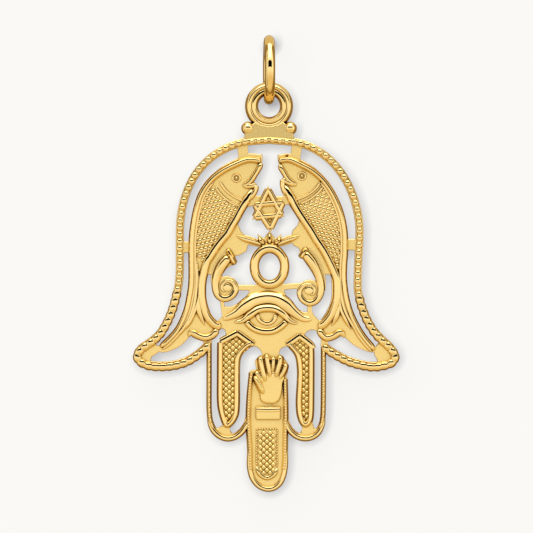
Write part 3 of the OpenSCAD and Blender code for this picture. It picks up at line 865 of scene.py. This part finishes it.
draw(bm, [stroke(panel_foot, 0.5, 0.5)], 0.3, 0.16, shoulder(0.05, 0.03), arc(0.42, 24))
lozenges(bm, panel_field, 0.48, 0.43)
finish_piece(bm, "long_finger_panel", sharp=80)

# Small hand and cuff
# A small hand in high relief, cast in gold on the long finger, rises from a plain cuff towards the palm.
# Its digits are polished and melt softly into its satin palm, and a roller crosses the cuff.
VOXEL = 0.022
digits = [
    [[-9, 135.5, 0.85], [-7.5, 126, 1], [-5.5, 117, 1], [-3, 108, 0.9]],
    [[-2.8, 137.5, 0.85], [-1.7, 130, 0.95], [-0.2, 122, 0.95], [1.5, 112, 0.8]],
    [[4.3, 135, 0.7], [4.3, 128, 0.8], [3.8, 121, 0.7], [3.4, 116, 0.5]],
    [[11.3, 136.5, 0.85], [10.8, 129, 1], [9, 122, 1], [6, 112, 0.85]],
    [[17, 128.5, 0.8], [15.5, 122, 0.85], [12.5, 116, 0.85], [9, 110, 0.8]],
    [[-13.5, 121, 0.75], [-11, 116.5, 0.85], [-7.5, 111, 0.8], [-4, 106, 0.6]],
    [[-15.5, 116, 0.6], [-12.5, 111.5, 0.9], [-8.5, 104.5, 1], [-5, 96, 1]],
]
hand_line = [
    [-12, 112], [-9.7, 105], [-9, 97], [-8.5, 91.5], [-6, 89], [-1, 87.8], [5, 87.8], [9.5, 90.5], [11.5, 95],
    [12.8, 101], [13.5, 108], [15.5, 113], [13, 118], [8, 119], [0, 119], [-6, 118], [-9.5, 115],
]


def sculpt(bm):
    """Melts overlapping forms into one soft form."""
    mesh = bpy.data.meshes.new("forms")
    bm.to_mesh(mesh)
    holder = bpy.data.objects.new("forms", mesh)
    bpy.context.collection.objects.link(holder)
    melt = holder.modifiers.new("melt", "REMESH")
    melt.mode = "VOXEL"
    melt.voxel_size = VOXEL
    soften = holder.modifiers.new("soften", "SMOOTH")
    soften.factor = 0.5
    soften.iterations = 1
    made = bpy.data.meshes.new_from_object(holder.evaluated_get(bpy.context.evaluated_depsgraph_get()))
    bm.clear()
    bm.from_mesh(made)
    bpy.data.objects.remove(holder)
    bpy.data.meshes.remove(mesh)
    bpy.data.meshes.remove(made)


bm = bmesh.new()
for rows in digits:
    digit = stroke(rows, 0.28, 0.6, step=0.07)
    draw(bm, [digit], 0.46, 0.40, shoulder(0.2, 0.2), shoulder(0.2, 0.2), sunk=0.1, steps=8)
palm_path = even(smooth([*hand_line, hand_line[0]]), 0.15)[:-1]
slab(bm, palm_path, FRONT - 0.1, 0.32, 0.12)
sculpt(bm)
for face in bm.faces:
    face.material_index = POLISHED if face.calc_center_median().y > 8.6 else SATIN
finish_piece(bm, "small_hand", sharp=60)
bm = bmesh.new()
cuff_line = [at(*row) for row in ((-13, 71.8), (11.2, 71.8), (11.2, 84.6), (-13, 84.6))]
slab(bm, cuff_line, FRONT - 0.05, 0.28, 0.1)
roller = [at(*row).to_4d() for row in ((-12.4, 81), (-1, 80.7), (10.8, 81))]
draw(bm, [roller], 0.3, 0.27, arc(0.42, 24), shoulder(0.1, 0.02))
finish_piece(bm, "cuff", sharp=50)

# Surroundings
# A light tent of white cloth, warm and dim behind the pendant and bright before it. Cards stand outside the picture:
# a dark one above the lens, a soft light overhead, a warm one high behind, and a dark and a light strip at the left.
TENT = (
    (0.0, (0.26, 0.17, 0.062)), (0.42, (0.28, 0.185, 0.067)), (0.53, (0.40, 0.29, 0.128)), (0.60, (0.76, 0.68, 0.52)),
    (0.70, (1.0, 0.96, 0.88)), (0.88, (0.94, 0.89, 0.80)), (1.0, (0.885, 0.835, 0.745)),
)
TENT_FOOT = (0.76, 0.64, 0.42, 1)
world = bpy.data.worlds.new("tent")
world.use_nodes = True
bpy.context.scene.world = world
tree = world.node_tree
tree.nodes.clear()
out = node(tree, "ShaderNodeOutputWorld", (900, 0))
seen = node(tree, "ShaderNodeBackground", (500, 200), Color=(0.956, 0.948, 0.913, 1), Strength=1.0)
tent = node(tree, "ShaderNodeBackground", (500, -100), Strength=1.2)
pick = node(tree, "ShaderNodeMixShader", (700, 0))
rays = node(tree, "ShaderNodeLightPath", (300, 400))
tree.links.new(rays.outputs["Is Camera Ray"], pick.inputs[0])
tree.links.new(tent.outputs[0], pick.inputs[1])
tree.links.new(seen.outputs[0], pick.inputs[2])
tree.links.new(pick.outputs[0], out.inputs[0])
where = node(tree, "ShaderNodeTexCoord", (-900, 0))
split = node(tree, "ShaderNodeSeparateXYZ", (-700, 0))
tree.links.new(where.outputs["Generated"], split.inputs[0])
ramp = node(tree, "ShaderNodeValToRGB", (-100, 0))
colour_stops(ramp, TENT)
tree.links.new(ranged(tree, (-400, 0), split.outputs["Y"], span=(1.0, -1.0)), ramp.inputs[0])
fade = node(tree, "ShaderNodeMix", (50, -400), data_type="RGBA")
fade.inputs[6].default_value = TENT_FOOT
fade.inputs[7].default_value = (1, 1, 1, 1)
tree.links.new(ranged(tree, (-100, -300), split.outputs["Z"], span=(-0.45, -0.02)), fade.inputs[0])
warm = multiplied(tree, (200, -200), ramp.outputs[0], fade.outputs[2])
tree.links.new(warm, tent.inputs["Color"])


def card(name, azimuth, elevation, distance, size, strength, colour=(1, 1, 1)):
    """A flat card that faces the pendant and is seen only in its reflections."""
    bpy.ops.mesh.primitive_plane_add(size=1)
    made = bpy.context.object
    made.name = name
    toward = Vector((sin(azimuth) * cos(elevation), -cos(azimuth) * cos(elevation), sin(elevation)))
    made.location = aim + toward * distance
    made.rotation_euler = toward.to_track_quat("Z", "Y").to_euler()
    made.scale = (size[0], size[1], 1)
    material = bpy.data.materials.new(name)
    material.use_nodes = True
    nodes = material.node_tree.nodes
    nodes.clear()
    glow = nodes.new("ShaderNodeEmission")
    glow.inputs[0].default_value = (*colour, 1)
    glow.inputs[1].default_value = strength
    end = nodes.new("ShaderNodeOutputMaterial")
    material.node_tree.links.new(glow.outputs[0], end.inputs[0])
    made.data.materials.append(material)
    made.visible_camera = False
    made.visible_shadow = False
    made.visible_diffuse = False


card("dark_card", 0, radians(22), 0.25, (0.42, 0.098), 0.0, (0, 0, 0))
card("soft_box", radians(-2), radians(68), 0.25, (0.25, 0.27), 2.6, (1.0, 0.97, 0.93))
card("back_card", pi, radians(50), 0.3, (0.5, 0.4), 0.72, (1.0, 0.82, 0.5))
card("dark_strip", radians(-73), 0, 0.3, (0.05, 0.5), 0.02)
card("light_strip", radians(-89), 0, 0.3, (0.06, 0.5), 1.3, (1.0, 0.97, 0.9))

# Wall and floor
# A pale wall stands close behind the pendant, of clear card that shows only the soft shade it casts down and to the
# right, and only from the front. A round matt floor lies well below it.
WALL_BEHIND, WALL_SIZE = 0.62 * MM, 90 * MM
SHADE_TILT = Vector((-1.0, -0.9, 1.3)).normalized()
FLOOR_R, FLOOR_LOW = 600 * MM, -120 * MM
shade = bpy.data.materials.new("wall_shade")
shade.use_nodes = True
tree = shade.node_tree
tree.nodes.clear()
out = node(tree, "ShaderNodeOutputMaterial", (600, 0))
clear = node(tree, "ShaderNodeBsdfTransparent", (200, 100))
grey = node(tree, "ShaderNodeEmission", (200, -100), Color=(0.43, 0.43, 0.45, 1))
both = node(tree, "ShaderNodeMixShader", (400, 0))
lean = node(tree, "ShaderNodeCombineXYZ", (-800, 200), X=SHADE_TILT.x, Y=SHADE_TILT.y, Z=SHADE_TILT.z)
total = node(tree, "ShaderNodeMath", (-100, 200), operation="ADD")
for k, (reach, weight) in enumerate(((0.8, 1.3), (3.5, 0.22))):
    hidden = node(tree, "ShaderNodeAmbientOcclusion", (-600, 200 - 300 * k), Distance=reach * MM, samples=24)
    tree.links.new(lean.outputs[0], hidden.inputs["Normal"])
    deep = ranged(tree, (-350, 200 - 300 * k), hidden.outputs["AO"], span=(1.0, 0.0), to=(0.0, weight))
    tree.links.new(deep, total.inputs[k])
side_seen = node(tree, "ShaderNodeNewGeometry", (-350, 500))
front_only = node(tree, "ShaderNodeMath", (0, 400), operation="SUBTRACT", use_clamp=True)
tree.links.new(total.outputs[0], front_only.inputs[0])
tree.links.new(side_seen.outputs["Backfacing"], front_only.inputs[1])
tree.links.new(front_only.outputs[0], both.inputs[0])
tree.links.new(clear.outputs[0], both.inputs[1])
tree.links.new(grey.outputs[0], both.inputs[2])
tree.links.new(both.outputs[0], out.inputs[0])
bpy.ops.mesh.primitive_plane_add(size=1, location=(aim.x, WALL_BEHIND, aim.z), rotation=(pi / 2, 0, 0))
wall = bpy.context.object
wall.name = "wall"
wall.scale = (WALL_SIZE, WALL_SIZE, 1)
wall.data.materials.append(shade)
wall.visible_glossy = False
wall.visible_diffuse = False
wall.visible_shadow = False

bpy.ops.mesh.primitive_circle_add(vertices=96, radius=FLOOR_R, fill_type="NGON", location=(0, 0, FLOOR_LOW))
floor = bpy.context.object
floor.name = "floor"
pale = bpy.data.materials.new("pale_floor")
pale.use_nodes = True
pale.node_tree.nodes["Principled BSDF"].inputs["Base Color"].default_value = (0.85, 0.84, 0.81, 1)
pale.node_tree.nodes["Principled BSDF"].inputs["Roughness"].default_value = 0.9
floor.data.materials.append(pale)
floor.visible_glossy = False
